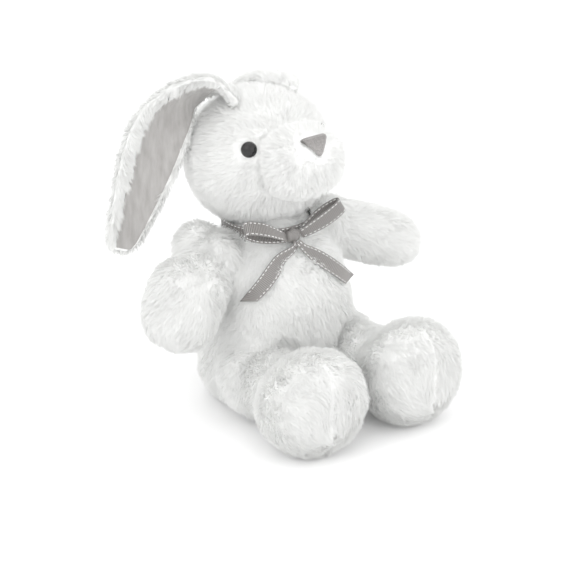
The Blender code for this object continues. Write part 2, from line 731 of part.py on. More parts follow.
def build_ear(side_name, side, cloth, lining, head_skin, head):
    hinge, seam = ear_root(side)
    joint = pivot_empty(f"ear_{side_name}_joint", hinge, head)
    frames = ear_frames(side_name, side, 12)
    _, along, across, facing, half, _ = frames[0]
    rings = []
    for turn in (65, 35, 0):
        angle = math.radians(turn)
        start = (hinge - along * EAR_ROLL * math.sin(angle), along, across, facing, half, 0.0)
        size = EAR_ROLL * math.cos(angle)
        rings.append(ear_section(start, -size, size))
    for frame in frames[1:]:
        blend = min(frame[5] / 0.18, 1.0)
        low = -EAR_ROLL + (EAR_ROLL - EAR_THICK) * blend
        high = EAR_ROLL * (1 - blend)
        rings.append(ear_section(frame, low, high))
    add_piece(f"ear_{side_name}_outer", loft(rings), cloth, joint)

    layer = []
    for frame in frames[2:-1]:
        high = EAR_ROLL * (1 - min(frame[5] / 0.18, 1.0))
        half = frame[4]
        narrow = min(half / (EAR_WIDTH / 2), 1.0)
        border, hem = EAR_BORDER * narrow / half, EAR_HEM * narrow / half
        first, last = (border - 1, 1 - hem) if side > 0 else (hem - 1, 1 - border)
        layer.append(ear_section(frame, high + 1.5 * GAP, high + 1.5 * GAP + LINING, first, last))
    add_piece(f"ear_{side_name}_lining", loft(layer), lining, joint)

    reach = EAR_ROOT_WIDTH / 2 + EAR_ROOM
    groove = cylinder(hinge - seam * reach, hinge + seam * reach, EAR_ROLL + TURN_GAP)
    boolean(head_skin, add_cutter(f"ear_{side_name}_groove", groove, head))


# ================================================================ ribbon bow
def ribbon_strip(path, across_at, widths):
    """Flat ribbon along a path; across_at gives the direction of its width at each point."""
    rings = []
    last = len(path) - 1
    for i, point in enumerate(path):
        along = (path[min(i + 1, last)] - path[max(i - 1, 0)]).normalized()
        across = across_at(i, along)
        across = (across - along * across.dot(along)).normalized()
        face = along.cross(across)
        half, thick = widths[i] / 2, RIBBON_THICK / 2
        rings.append([point + across * a * half + face * b * thick
                      for a, b in ((-1, -1), (1, -1), (1, 1), (-1, 1))])
    return loft(rings)


def build_ribbon(satin, root):
    low = TORSO_HEIGHT - RIBBON_DROP
    radius = BAND_RADIUS
    centre = Vector((0, NECK_CENTRE_Y, low))
    band = [(radius, 0.0), (radius + RIBBON_THICK, 0.0),
            (radius + RIBBON_THICK, RIBBON_WIDTH), (radius, RIBBON_WIDTH)]
    add_piece("ribbon_band", lathe(band, centre, Z, FINE, closed=True), satin, root)

    depth = KNOT_WIDTH * 0.32
    knot = band_front(KNOT_SIDE, GAP + depth) + Z * (low + RIBBON_WIDTH / 2)
    half_width, half_height = KNOT_WIDTH / 2, RIBBON_WIDTH * 0.52
    add_piece("ribbon_knot", ball(knot, half_width, depth, half_height, COARSE, 10), satin, root)

    for side_name, side in SIDES:
        end = LOOP_END[side_name]
        start = knot + X * side * (half_width + 2 * GAP)
        outward = end.normalized()
        depth_way = outward.cross(Z).cross(outward).cross(outward).normalized()
        if depth_way.y > 0:
            depth_way = -depth_way
        depth_way = Matrix.Rotation(math.radians(LOOP_TILT[side_name]), 3, outward) @ depth_way
        reach = end.length - half_width
        swell = RIBBON_WIDTH * 0.42
        shape = ((0.0, -0.12), (0.22, -0.62), (0.58, -1.0), (0.90, -0.72), (1.0, 0.0),
                 (0.90, 0.72), (0.58, 1.0), (0.22, 0.62), (0.0, 0.12))
        path = [start + outward * reach * a + depth_way * swell * b
                for a, b in smooth_values(shape, 17)]
        upward = outward.cross(depth_way)
        widths = [RIBBON_WIDTH * min(1.0, 0.62 + 1.6 * min(i, 16 - i) / 16) for i in range(17)]
        add_piece(f"ribbon_loop_{side_name}",
                  ribbon_strip(path, lambda i, along: upward, widths), satin, root)

        top = knot.z - half_height - 3 * GAP
        first = Vector((knot.x + side * RIBBON_WIDTH * 0.31, knot.y - TAIL_STEP, top))
        joint = pivot_empty(f"ribbon_tail_{side_name}_joint", first, root)
        across_end, height_end = TAIL_END[side_name]
        path = [first]
        for share in (0.18, 0.36, 0.54, 0.72, 0.88, 1.0):
            across = first.x + (across_end - first.x) * share ** TAIL_BEND[side_name]
            height = top + (height_end - top) * share
            path.append(torso_front(across, height, RIBBON_STANDOFF))
        path[0].y = min(path[0].y, path[1].y + TAIL_STEP)
        rows = smooth_values([tuple(p) for p in path], 12)
        path = [Vector(row) for row in rows]
        widths = [RIBBON_WIDTH * min(1.0, 0.5 + 0.5 * i / 3) for i in range(12)]

        def across_belly(i, along, path=path):
            _, _, centre_y = torso_section(path[i].z)
            facing = Vector((path[i].x, path[i].y - centre_y, 0)).normalized()
            return facing.cross(along)

        add_piece(f"ribbon_tail_{side_name}", ribbon_strip(path, across_belly, widths), satin, joint)


# ================================================================ whole rabbit
def build():
    clear_scene()
    plush = plush_material("white_plush", (0.92, 0.92, 0.91), 0.95)
    filling = plush_material("polyester_filling", (0.88, 0.88, 0.86), 1.0)
    lining = plush_material("grey_lining", (0.56, 0.54, 0.52), 0.70)
    satin = plush_material("grey_ribbon", (0.48, 0.46, 0.44), 0.45)
    nose = plush_material("nose_satin", (0.46, 0.44, 0.42), 0.35)
    bead = plush_material("black_bead", (0.01, 0.01, 0.01), 0.05)
    washer = plush_material("washer_plastic", (0.80, 0.80, 0.78), 0.50)
    thread = plush_material("white_thread", (0.90, 0.90, 0.88), 0.80)

    root = pivot_empty("torso", (0, 0, 0))
    torso = build_torso(plush, filling, thread, root)
    build_tail(plush, filling, torso, root)
    for side_name, side in SIDES:
        build_limb(f"arm_{side_name}", mirrored(SHOULDER, side), ARM_DIRECTION[side_name],
                   ARM_ROOT, arm_stations(side_name), ARM_SWING, -X, plush, filling, torso, root)
        build_limb(f"leg_{side_name}", mirrored(HIP, side), mirrored(LEG_DIRECTION, side),
                   LEG_ROOT, leg_stations(), LEG_SWING, -X, plush, filling, torso, root)
    build_ribbon(satin, root)

    neck = pivot_empty("neck", NECK, root)
    build_neck(filling, thread, neck)
    head = pivot_empty("head", NECK, neck)
    head_pieces = build_head(plush, filling, head)
    build_nose(nose, head)
    for side_name, side in SIDES:
        build_eye(side_name, side, bead, washer, *head_pieces, head)
        build_ear(side_name, side, plush, lining, head_pieces[0], head)


build()
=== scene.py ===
import math

import bmesh
import bpy
import numpy as np
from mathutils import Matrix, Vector
from mathutils.bvhtree import BVHTree
from mathutils.kdtree import KDTree


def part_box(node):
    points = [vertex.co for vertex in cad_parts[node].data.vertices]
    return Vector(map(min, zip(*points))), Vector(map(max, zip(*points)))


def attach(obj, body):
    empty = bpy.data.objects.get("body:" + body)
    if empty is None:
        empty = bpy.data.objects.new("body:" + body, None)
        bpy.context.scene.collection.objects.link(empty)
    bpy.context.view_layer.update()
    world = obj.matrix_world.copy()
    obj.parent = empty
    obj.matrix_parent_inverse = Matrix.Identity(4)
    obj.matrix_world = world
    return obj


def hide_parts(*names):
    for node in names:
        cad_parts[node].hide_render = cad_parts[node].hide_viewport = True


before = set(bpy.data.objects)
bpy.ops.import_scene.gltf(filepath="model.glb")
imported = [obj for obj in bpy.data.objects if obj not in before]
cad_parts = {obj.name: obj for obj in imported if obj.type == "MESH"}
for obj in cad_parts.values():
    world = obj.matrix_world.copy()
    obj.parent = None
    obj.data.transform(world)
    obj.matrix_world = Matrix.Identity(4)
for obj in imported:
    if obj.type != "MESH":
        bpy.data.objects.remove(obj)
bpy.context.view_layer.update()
MM = 0.001

# Sizes of the pile, in metres
PILE_LENGTH = 7.0 * MM
PILE_WIDTH = 0.38 * MM
PILE_LEAN = 50.0
PILE_SINK = 0.6 * MM
SEAM_DEPTH = 3.2 * MM
TUFT_AREA = 9.0 * MM * MM
TUFT_PULL = 0.30         # how far a tip goes towards its tuft's head
MIDDLE_PULL = 0.35       # and its middle, as a share of that
PIECE_LIMIT = 64000
RIB = 1.2 * MM
CUT_STEPS = 24.0         # rows over which a ribbon's slanted end is drawn out
RIBBON_THICK = 0.45 * MM
DASH_LENGTH = 1.5 * MM
DASH_STEP = 3.0 * MM
DASH_INSET = 1.0 * MM
FLOOR_GAP = 0.3 * MM
EYE_SINK = {"left": 2.6 * MM, "right": 0.7 * MM}

# Places of the imported joints and of the head, repeated here
NECK = Vector((0.0, 8.0, 122.0)) * MM
HEAD = Vector((0.0, 17.0, 164.5)) * MM
NOSE = Vector((0.0, -44.0, 186.0)) * MM
HIPS = {"left": Vector((35.0, -28.8, 29.5)) * MM, "right": Vector((-35.0, -28.8, 29.5)) * MM}
SHOULDERS = {"left": Vector((48.4, 3.7, 105.0)) * MM, "right": Vector((-48.4, 3.7, 105.0)) * MM}
LEG_WAYS = {"left": Vector((0.087, -0.996, 0.0)), "right": Vector((-0.087, -0.996, 0.0))}
ARM_WAYS = {"left": Vector((0.905, -0.274, -0.326)), "right": Vector((-0.740, -0.260, -0.620))}
SHOULDER_TOP = Vector((-51.0, 13.0, 110.5)) * MM
SIDES = ("left", "right")


# ---------------------------------------------------------------- camera, floor and lights
def studio():
    azimuth, elevation, distance = math.radians(-38.0), math.radians(22.5), 2.2
    target = Vector((0.0093, 0.0, 0.073))
    way = Vector((math.sin(azimuth) * math.cos(elevation),
                  -math.cos(azimuth) * math.cos(elevation), math.sin(elevation)))
    camera = bpy.data.objects.new("camera", bpy.data.cameras.new("camera"))
    bpy.context.collection.objects.link(camera)
    camera.location = target + way * distance
    camera.rotation_mode = "QUATERNION"
    camera.rotation_quaternion = (-way).to_track_quat("-Z", "Y")
    camera.data.sensor_width = 36.0
    camera.data.lens = 210.5
    camera.data.clip_start, camera.data.clip_end = 0.02, 50.0
    bpy.context.scene.camera = camera

    bpy.ops.mesh.primitive_plane_add(size=12.0, location=(0, 0, 0))
    floor = bpy.context.active_object
    floor.name = floor.data.name = "floor"
    floor.data.materials.append(plain_finish("floor_white", (0.93, 0.93, 0.93), 0.9))

    right = Vector((math.cos(azimuth), math.sin(azimuth), 0))
    for name, place, size, power in (
        ("key_light", target + way * 1.2 - right * 0.7 + Vector((0, 0, 0.7)), 1.2, 5.0),
        ("top_light", target + Vector((0.0, 0.2, 1.5)), 1.6, 3.5),
        ("fill_light", target + way * 1.1 + right * 1.0 + Vector((0, 0, 0.1)), 1.4, 3.0),
    ):
        lamp = bpy.data.lights.new(name, "AREA")
        lamp.shape, lamp.size, lamp.energy = "DISK", size, power
        light = bpy.data.objects.new(name, lamp)
        bpy.context.collection.objects.link(light)
        light.location = place
        light.rotation_mode = "QUATERNION"
        light.rotation_quaternion = (target - place).to_track_quat("-Z", "Y")

    world = bpy.data.worlds.new("studio")
    bpy.context.scene.world = world
    world.use_nodes = True
    back = world.node_tree.nodes["Background"]
    back.inputs["Color"].default_value = (1.0, 1.0, 1.0, 1.0)
    back.inputs["Strength"].default_value = 1.75
    bpy.context.scene.view_settings.view_transform = "Standard"
    bpy.context.scene.view_settings.exposure = -0.30
    bpy.context.scene.view_settings.gamma = 1.40


# ---------------------------------------------------------------- finishes
def new_material(name, roughness, **values):
    mat = bpy.data.materials.new(name)
    mat.use_nodes = True
    shader = mat.node_tree.nodes["Principled BSDF"]
    shader.inputs["Roughness"].default_value = roughness
    for label, value in values.items():
        shader.inputs[label.replace("_", " ")].default_value = value
    return mat, mat.node_tree.nodes, mat.node_tree.links, shader


def ramp_node(nodes, links, source, stops):
    ramp = nodes.new("ShaderNodeValToRGB")
    parts = ramp.color_ramp.elements
    while len(parts) < len(stops):
        parts.new(0.5)
    for part, (place, colour) in zip(parts, stops):
        part.position, part.color = place, (*colour, 1.0)
    links.new(source, ramp.inputs["Fac"])
    return ramp.outputs["Color"]


def noise_node(nodes, links, where, scale, detail=3.0):
    noise = nodes.new("ShaderNodeTexNoise")
    noise.inputs["Scale"].default_value = scale
    noise.inputs["Detail"].default_value = detail
    links.new(where, noise.inputs["Vector"])
    return noise.outputs["Fac"]


def bump_node(nodes, links, height, strength, depth, shader):
    bump = nodes.new("ShaderNodeBump")
    bump.inputs["Strength"].default_value = strength
    bump.inputs["Distance"].default_value = depth
    links.new(height, bump.inputs["Height"])
    links.new(bump.outputs["Normal"], shader.inputs["Normal"])


def plain_finish(name, colour, roughness):
    """Matt surface with a faint mottle, for the floor."""
    mat, nodes, links, shader = new_material(name, roughness)
    where = nodes.new("ShaderNodeTexCoord").outputs["Object"]
    low = tuple(c * 0.985 for c in colour)
    links.new(ramp_node(nodes, links, noise_node(nodes, links, where, 6.0), ((0.3, low), (0.7, colour))),
              shader.inputs["Base Color"])
    return mat


def pile_finish():
    """Long pile that lets light through: painted shade greys each blade towards its root, and it differs a
    little from lock to lock.
    """
    mat, nodes, links, shader = new_material("white_pile", 0.85, Sheen_Weight=0.5, Sheen_Roughness=0.6)
    shader.inputs["Specular IOR Level"].default_value = 0.15
    own = nodes.new("ShaderNodeUVMap")
    own.uv_map = "OFBake"
    parts = nodes.new("ShaderNodeSeparateXYZ")
    links.new(own.outputs["UV"], parts.inputs["Vector"])
    # painted shade: the colour darkens towards each blade's root, where the blades shadow one another
    along = ramp_node(nodes, links, parts.outputs["Y"],
                      ((0.0, (0.945, 0.95, 0.94)), (0.45, (0.97, 0.975, 0.965)),
                       (1.0, (0.985, 0.990, 0.980))))
    lock = ramp_node(nodes, links, parts.outputs["X"],
                     ((0.0, (0.97, 0.97, 0.965)), (0.5, (0.99, 0.99, 0.985)), (1.0, (1.0, 1.0, 1.0))))
    mix = nodes.new("ShaderNodeMix")
    mix.data_type, mix.blend_type = "RGBA", "MULTIPLY"
    mix.inputs["Factor"].default_value = 1.0
    links.new(along, mix.inputs["A"])
    links.new(lock, mix.inputs["B"])
    links.new(mix.outputs["Result"], shader.inputs["Base Color"])
    through = nodes.new("ShaderNodeBsdfTranslucent")
    links.new(mix.outputs["Result"], through.inputs["Color"])
    both = nodes.new("ShaderNodeMixShader")
    both.inputs["Fac"].default_value = 0.4
    links.new(shader.outputs["BSDF"], both.inputs[1])
    links.new(through.outputs["BSDF"], both.inputs[2])
    links.new(both.outputs["Shader"], nodes["Material Output"].inputs["Surface"])
    return mat


def backing_finish():
    """Knitted backing under the pile."""
    mat, nodes, links, shader = new_material("pile_backing", 0.95, Sheen_Weight=0.2)
    where = nodes.new("ShaderNodeTexCoord").outputs["Object"]
    fine = noise_node(nodes, links, where, 900.0)
    links.new(ramp_node(nodes, links, fine, ((0.3, (0.95, 0.955, 0.945)), (0.7, (0.99, 0.99, 0.98)))),
              shader.inputs["Base Color"])
    bump_node(nodes, links, fine, 0.5, 0.0004, shader)
    return mat


def lining_finish():
    """Short brushed velour: grey with soft lengthwise streaks."""
    mat, nodes, links, shader = new_material("grey_velour", 0.75, Sheen_Weight=0.5, Sheen_Roughness=0.4)
    where = nodes.new("ShaderNodeTexCoord").outputs["Object"]
    turn = nodes.new("ShaderNodeMapping")
    turn.inputs["Scale"].default_value = (1.0, 1.0, 0.25)
    links.new(where, turn.inputs["Vector"])
    streak = noise_node(nodes, links, turn.outputs["Vector"], 260.0, 4.0)
    links.new(ramp_node(nodes, links, streak,
                        ((0.25, (0.19, 0.18, 0.172)), (0.5, (0.26, 0.25, 0.24)),
                         (0.8, (0.33, 0.32, 0.308)))),
              shader.inputs["Base Color"])
    bump_node(nodes, links, noise_node(nodes, links, where, 1600.0, 2.0), 0.6, 0.0003, shader)
    return mat


def ribbon_finish():
    """Ribbed ribbon: silky greige with a fine crosswise thread, and painted shade in the grooves between
    its ribs.
    """
    mat, nodes, links, shader = new_material("greige_ribbon", 0.42, Sheen_Weight=0.3, Sheen_Roughness=0.3)
    shader.inputs["Anisotropic"].default_value = 0.3
    own = nodes.new("ShaderNodeUVMap")
    own.uv_map = "cloth"
    turn = nodes.new("ShaderNodeMapping")
    turn.inputs["Scale"].default_value = (6.0, 0.7, 1.0)
    links.new(own.outputs["UV"], turn.inputs["Vector"])
    thread = noise_node(nodes, links, turn.outputs["Vector"], 0.9, 3.0)
    tone = ramp_node(nodes, links, thread,
                     ((0.25, (0.13, 0.12, 0.112)), (0.55, (0.19, 0.178, 0.168)),
                      (0.85, (0.28, 0.265, 0.252))))
    # painted shade: bands at the rib pitch darken the colour in the grooves between the ribs
    rib = nodes.new("ShaderNodeTexWave")
    rib.bands_direction = "Y"
    rib.inputs["Scale"].default_value = 2 * math.pi / (20 * RIB / MM)
    links.new(own.outputs["UV"], rib.inputs["Vector"])
    painted_groove_shade = ramp_node(nodes, links, rib.outputs["Fac"],
                       ((0.15, (0.30, 0.30, 0.30)), (0.75, (1.0, 1.0, 1.0))))
    mix = nodes.new("ShaderNodeMix")
    mix.data_type, mix.blend_type = "RGBA", "MULTIPLY"
    mix.inputs["Factor"].default_value = 1.0
    links.new(tone, mix.inputs["A"])
    links.new(painted_groove_shade, mix.inputs["B"])
    links.new(mix.outputs["Result"], shader.inputs["Base Color"])
    return mat


def thread_finish(name, low, high, roughness=0.5):
    """Twisted sewing thread."""
    mat, nodes, links, shader = new_material(name, roughness, Sheen_Weight=0.3)
    where = nodes.new("ShaderNodeTexCoord").outputs["Object"]
    links.new(ramp_node(nodes, links, noise_node(nodes, links, where, 1500.0), ((0.3, low), (0.7, high))),
              shader.inputs["Base Color"])
    return mat


def bead_finish():
    """Polished black plastic with a trace of haze."""
    mat, nodes, links, shader = new_material("black_bead", 0.08, Coat_Weight=0.08, Coat_Roughness=0.02)
    shader.inputs["Specular IOR Level"].default_value = 0.16
    where = nodes.new("ShaderNodeTexCoord").outputs["Object"]
    haze = noise_node(nodes, links, where, 300.0)
    links.new(ramp_node(nodes, links, haze, ((0.3, (0.002, 0.002, 0.002)), (0.7, (0.005, 0.005, 0.005)))),
              shader.inputs["Base Color"])
    return mat


def moulded_finish(name, low, high, roughness):
    mat, nodes, links, shader = new_material(name, roughness)
    where = nodes.new("ShaderNodeTexCoord").outputs["Object"]
    grain = noise_node(nodes, links, where, 700.0)
    links.new(ramp_node(nodes, links, grain, ((0.3, low), (0.7, high))), shader.inputs["Base Color"])
    bump_node(nodes, links, grain, 0.3, 0.0002, shader)
    return mat


# ---------------------------------------------------------------- modelling by hand
def pick(*things):
    bpy.ops.object.select_all(action="DESELECT")
    for thing in things:
        thing.select_set(True)
    bpy.context.view_layer.objects.active = things[0]


def name_it(thing, name):
    thing.name = thing.data.name = name
    return thing


def apply_place(thing):
    pick(thing)
    bpy.ops.object.transform_apply(location=True, rotation=True, scale=True)


def apply_modifier(thing, kind, **values):
    modifier = thing.modifiers.new(kind.title(), kind)
    for label, value in values.items():
        setattr(modifier, label, value)
    pick(thing)
    bpy.ops.object.modifier_apply(modifier=modifier.name)


def points_of(mesh):
    found = np.empty(len(mesh.vertices) * 3)
    mesh.vertices.foreach_get("co", found)
    return found.reshape(-1, 3)


def set_points(mesh, places):
    mesh.vertices.foreach_set("co", np.ascontiguousarray(places, np.float32).ravel())
    mesh.update()


def copied(name, nodes, balls=()):
    """The named nodes and some balls as one object, with the loose triangles merged."""
    parts = []
    for node in nodes:
        twin = bpy.data.objects.new(node + "_copy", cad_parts[node].data.copy())
        bpy.context.collection.objects.link(twin)
        parts.append(twin)
    for centre, size in balls:
        bpy.ops.mesh.primitive_uv_sphere_add(segments=20, ring_count=12, radius=size, location=centre)
        ball = bpy.context.active_object
        apply_place(ball)
        parts.append(ball)
    pick(*parts)
    if len(parts) > 1:
        bpy.ops.object.join()
    whole = name_it(bpy.context.active_object, name)
    whole.data.materials.clear()
    bpy.ops.object.mode_set(mode="EDIT")
    bpy.ops.mesh.select_all(action="SELECT")
    bpy.ops.mesh.remove_doubles(threshold=0.02 * MM)
    bpy.ops.object.mode_set(mode="OBJECT")
    return whole


def outer_shell(thing):
    """Leaves only the outermost closed surface of a mesh."""
    mesh = bmesh.new()
    mesh.from_mesh(thing.data)
    left, shells = set(mesh.verts), []
    while left:
        todo, found = [left.pop()], set()
        while todo:
            vert = todo.pop()
            found.add(vert)
            for edge in vert.link_edges:
                other = edge.other_vert(vert)
                if other in left:
                    left.discard(other)
                    todo.append(other)
        shells.append(found)
    shells.sort(key=len)
    for shell in shells[:-1]:
        bmesh.ops.delete(mesh, geom=list(shell), context="VERTS")
    mesh.to_mesh(thing.data)
    mesh.free()


def stuffed(name, nodes, balls=(), voxel=3.5 * MM, shrink=1.0 * MM, cap=2.0 * MM, smooth=4):
    """A closed cover over some nodes, blown out a little by its filling."""
    cover = copied(name, nodes, balls)
    apply_modifier(cover, "REMESH", mode="VOXEL", voxel_size=voxel)
    outer_shell(cover)
    apply_modifier(cover, "SMOOTH", factor=0.5, iterations=smooth)
    cover.data.update()
    start = points_of(cover.data)
    normals = np.array([v.normal[:] for v in cover.data.vertices])
    slim = start - normals * shrink
    set_points(cover.data, slim)
    cloth = cover.modifiers.new("Filling", "CLOTH")
    cloth.settings.quality = 4
    cloth.settings.use_pressure = True
    cloth.settings.uniform_pressure_force = 4.0
    cloth.settings.effector_weights.gravity = 0.0
    cloth.point_cache.frame_start, cloth.point_cache.frame_end = 1, 20
    for step in range(1, 21):
        bpy.context.scene.frame_set(step)
    pick(cover)
    bpy.ops.object.modifier_apply(modifier=cloth.name)
    bpy.context.scene.frame_set(1)
    blown = points_of(cover.data)
    move = blown - slim
    reach = np.linalg.norm(move, axis=1, keepdims=True)
    blown = slim + move * np.minimum(1.0, cap / np.maximum(reach, 1e-9))
    blown = np.where(np.isfinite(blown), blown, slim)
    blown[:, 2] = np.maximum(blown[:, 2], 0.6 * MM)
    set_points(cover.data, blown)
    apply_modifier(cover, "SUBSURF", levels=1, render_levels=1)
    pick(cover)
    bpy.ops.object.shade_smooth()
    cover.data.materials.append(FINISH["backing"])
    return cover


# ---------------------------------------------------------------- pile
def unit(rows):
    return rows / np.maximum(np.linalg.norm(rows, axis=-1, keepdims=True), 1e-12)


def waves(places, seed, length, count=5):
    """Smooth wandering number, about -1 to 1, over places."""
    dice = np.random.default_rng(seed)
    total = np.zeros(len(places))
    for _ in range(count):
        way = unit(dice.normal(size=3)) * (2 * math.pi / (length * dice.uniform(0.7, 1.5)))
        total += np.sin(places @ way + dice.uniform(0, 6.28))
    return total / math.sqrt(count)


def scattered(mesh, per_area, seed, weight=None):
    """Roots spread by area over a mesh, with the smooth normals there."""
    mesh.calc_loop_triangles()
    tris = np.array([t.vertices[:] for t in mesh.loop_triangles])
    places = points_of(mesh)
    normals = np.array([v.normal[:] for v in mesh.vertices])
    a, b, c = (places[tris[:, k]] for k in range(3))
    areas = np.linalg.norm(np.cross(b - a, c - a), axis=1) / 2
    if weight is not None:
        areas = areas * weight((a + b + c) / 3, unit(normals[tris].mean(axis=1)))
    dice = np.random.default_rng(seed)
    number = int(areas.sum() * per_area)
    chosen = dice.choice(len(tris), size=number, p=areas / areas.sum())
    u, v = dice.random(number), dice.random(number)
    over = u + v > 1
    u[over], v[over] = 1 - u[over], 1 - v[over]
    shares = np.stack([1 - u - v, u, v], 1)[:, :, None]
    return (places[tris[chosen]] * shares).sum(1), unit((normals[tris[chosen]] * shares).sum(1))


def grow_pile(name, skin, body, per_mm, comb, length=None, weight=None, seed=1):
    """Blades of pile over a skin, combed along comb(places, normals) and gathered in tufts.

    length(places, normals) gives a share of the pile's full length.
    """
    roots, normals = scattered(skin.data, per_mm / (MM * MM), seed, weight)
    number = len(roots)
    dice = np.random.default_rng(seed + 50)
    share = np.ones(number) if length is None else length(roots, normals)

    nap = comb(roots, normals)
    nap = nap - normals * (nap * normals).sum(1, keepdims=True)
    nap = unit(nap)
    side = np.cross(normals, nap)
    swirl = np.radians(20 * waves(roots, seed + 1, 34 * MM) + 9 * waves(roots, seed + 2, 13 * MM)
                       + dice.normal(0, 9, number))
    nap = nap * np.cos(swirl)[:, None] + side * np.sin(swirl)[:, None]

    lean = np.radians((PILE_LEAN + 6 * waves(roots, seed + 3, 16 * MM) + dice.normal(0, 6, number)))
    tall = PILE_LENGTH * share * dice.uniform(0.78, 1.12, number)
    low = nap * np.sin(lean * 0.75)[:, None] + normals * np.cos(lean * 0.75)[:, None]
    high = nap * np.sin(lean * 1.15)[:, None] + normals * np.cos(lean * 1.15)[:, None]
    base = roots - normals * PILE_SINK
    middle = base + low * (tall * 0.5)[:, None]
    tip = middle + high * (tall * 0.5)[:, None]

    tufts = max(20, int(number / per_mm / (TUFT_AREA / (MM * MM))))
    heads = dice.choice(number, size=tufts, replace=False)
    tree = KDTree(tufts)
    for i, at in enumerate(heads):
        tree.insert(roots[at], i)
    tree.balance()
    near = np.array([tree.find(at)[1] for at in roots])
    own = heads[near]
    pull = (TUFT_PULL * dice.uniform(0.7, 1.2, number))[:, None]
    tip = tip + (tip[own] - tip) * pull
    middle = middle + (middle[own] - middle) * pull * MIDDLE_PULL

    away = roots - roots[own]
    away = away - normals * (away * normals).sum(1, keepdims=True)
    tilt = np.clip(away / (math.sqrt(TUFT_AREA) * 0.5), -1, 1)
    shade = unit(normals + 0.15 * tilt + 0.05 * dice.normal(size=(number, 3)))

    way = unit(tip - base)
    wide = unit(np.cross(way, normals))
    twist = np.radians(dice.uniform(-50, 50, number))[:, None]
    wide = wide * np.cos(twist) + np.cross(way, wide) * np.sin(twist)
    half = wide * (PILE_WIDTH / 2) * dice.uniform(0.8, 1.2, number)[:, None]
    blades = np.stack([base - half, base + half, middle - half * 0.8, middle + half * 0.8, tip], 1)
    blades[:, :, 2] = np.maximum(blades[:, :, 2], FLOOR_GAP)

    lock = (dice.random(tufts)[near] * 0.7 + dice.random(number) * 0.3) * 0.96 + 0.02
    order = np.argsort(roots[:, 1], kind="stable")
    parts = max(1, math.ceil(number / PIECE_LIMIT))
    made = []
    for part, chosen in enumerate(np.array_split(order, parts)):
        label = name if parts == 1 else f"{name}_{part + 1}"
        made.append(blade_mesh(label, blades[chosen], shade[chosen], lock[chosen]))
        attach(made[-1], body)
    return made


def blade_mesh(name, blades, shade, lock):
    number = len(blades)
    mesh = bpy.data.meshes.new(name)
    mesh.vertices.add(number * 5)
    mesh.vertices.foreach_set("co", blades.astype(np.float32).ravel())
    first = (np.arange(number) * 5)[:, None]
    corners = (first + np.array([0, 1, 3, 2, 2, 3, 4])).ravel()
    mesh.loops.add(number * 7)
    mesh.loops.foreach_set("vertex_index", corners.astype(np.int32))
    mesh.polygons.add(number * 2)
    starts = ((np.arange(number) * 7)[:, None] + np.array([0, 4])).ravel()
    mesh.polygons.foreach_set("loop_start", starts.astype(np.int32))
    mesh.polygons.foreach_set("use_smooth", np.ones(number * 2, bool))
    mesh.update(calc_edges=True)
    own = mesh.uv_layers.new(name="OFBake")
    across = lock[:, None] + np.array([-1, 1, 1, -1, -1, 1, 0]) * 0.008
    along = np.tile(np.array([0.01, 0.01, 0.5, 0.5, 0.5, 0.5, 0.99]), (number, 1))
    own.uv.foreach_set("vector", np.stack([across, along], 2).astype(np.float32).ravel())
    mesh.normals_split_custom_set_from_vertices(np.repeat(shade, 5, axis=0).tolist())
    mesh.materials.append(FINISH["pile"])
    thing = bpy.data.objects.new(name, mesh)
    bpy.context.collection.objects.link(thing)
    return thing


def away_from(point):
    return lambda places, normals: places - np.array(point)


def steady(*way):
    return lambda places, normals: np.tile(np.array(way, float), (len(places), 1))


def mixed(*ways):
    """Sum of several combing directions, each brought to unit length first."""
    return lambda places, normals: sum(unit(way(places, normals)) * much for way, much in ways)


def tree_of(node):
    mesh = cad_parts[node].data
    return BVHTree.FromPolygons([v.co[:] for v in mesh.vertices], [p.vertices[:] for p in mesh.polygons])


def distances(tree, places):
    return np.array([tree.find_nearest(Vector(at))[3] for at in places])


# ---------------------------------------------------------------- the rabbit's covers
def dress_torso():
    sockets = [(HIPS[s], 26 * MM) for s in SIDES] + [(SHOULDERS[s], 20 * MM) for s in SIDES]
    inside = ("torso_skin", "torso_stuffing", "seat_panel", "pellet_bag", "neck_stuffing")
    cover = stuffed("torso_cover", inside, sockets, voxel=4 * MM)
    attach(cover, "torso")
    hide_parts("torso_skin", "torso_stuffing", "seat_panel")
    comb = mixed((steady(0, -0.15, -1.0), 1.0), (away_from((0, 0, 0.07)), 0.3))
    hidden = lambda places, normals: np.where((places[:, 2] < 3 * MM) & (normals[:, 2] < -0.5), 0.1, 1.0)
    grow_pile("torso_pile", cover, "torso", 2.2, comb, weight=hidden, seed=10)


